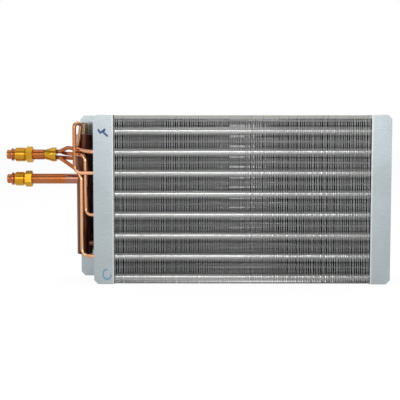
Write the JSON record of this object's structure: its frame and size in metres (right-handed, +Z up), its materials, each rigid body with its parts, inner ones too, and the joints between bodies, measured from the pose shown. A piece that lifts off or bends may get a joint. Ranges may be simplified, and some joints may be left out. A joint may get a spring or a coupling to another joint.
{
  "type": "evaporator coil",
  "caption": "Finned-tube evaporator coil in two folded end plates, with a distributor, thin feed tubes, a suction header and two line ends with swivel nuts.",
  "frame": {"origin": "centre of the overall box, at the level of the end plates' bottom edges, which the coil stands on", "axes": "+X along the tubes from the header side to the hairpin side, +Y from the front flanges to the back, +Z up"},
  "size_m": [0.4702, 0.068, 0.2046],
  "materials": {
    "galvanised_steel": "galvanised, satin",
    "fin_aluminium": "mill finish",
    "copper": "bright copper",
    "heated_copper": "copper darkened by brazing",
    "brass": "turned brass"
  },
  "bodies": {
    "coil": {"left_end_plate": "galvanised_steel", "right_end_plate": "galvanised_steel", "fin_pack": "fin_aluminium", "hairpin_01": "copper", "hairpin_02": "copper", "hairpin_03": "copper", "hairpin_04": "copper", "hairpin_05": "copper", "hairpin_06": "copper", "hairpin_07": "copper", "hairpin_08": "copper", "hairpin_09": "copper", "hairpin_10": "copper", "hairpin_11": "copper", "hairpin_12": "copper", "return_bend_1": "copper", "return_bend_2": "copper", "return_bend_3": "copper", "return_bend_4": "copper", "return_bend_5": "copper", "return_bend_6": "copper", "return_bend_7": "copper", "return_bend_8": "copper", "suction_stub_1": "copper", "suction_stub_2": "copper", "suction_stub_3": "copper", "suction_stub_4": "copper", "suction_header": "heated_copper", "header_cap_bottom": "heated_copper", "header_cap_top": "heated_copper", "header_top_stub": "brass", "suction_tube": "copper", "liquid_tube": "copper", "distributor": "brass", "feed_tube_1": "copper", "feed_tube_2": "copper", "feed_tube_3": "copper", "feed_tube_4": "copper"},
    "suction_nut": {"suction_nut": "brass"},
    "liquid_nut": {"liquid_nut": "brass"}
  },
  "joints": [
    {"name": "suction_nut_spin", "type": "hinge", "parent": "coil", "child": "suction_nut", "pos_m": [-0.22555, 0.011, 0.1257], "axis": [1, 0, 0], "continuous": true},
    {"name": "liquid_nut_spin", "type": "hinge", "parent": "coil", "child": "liquid_nut", "pos_m": [-0.22495, 0.011, 0.1559], "axis": [1, 0, 0], "continuous": true}
  ]
}
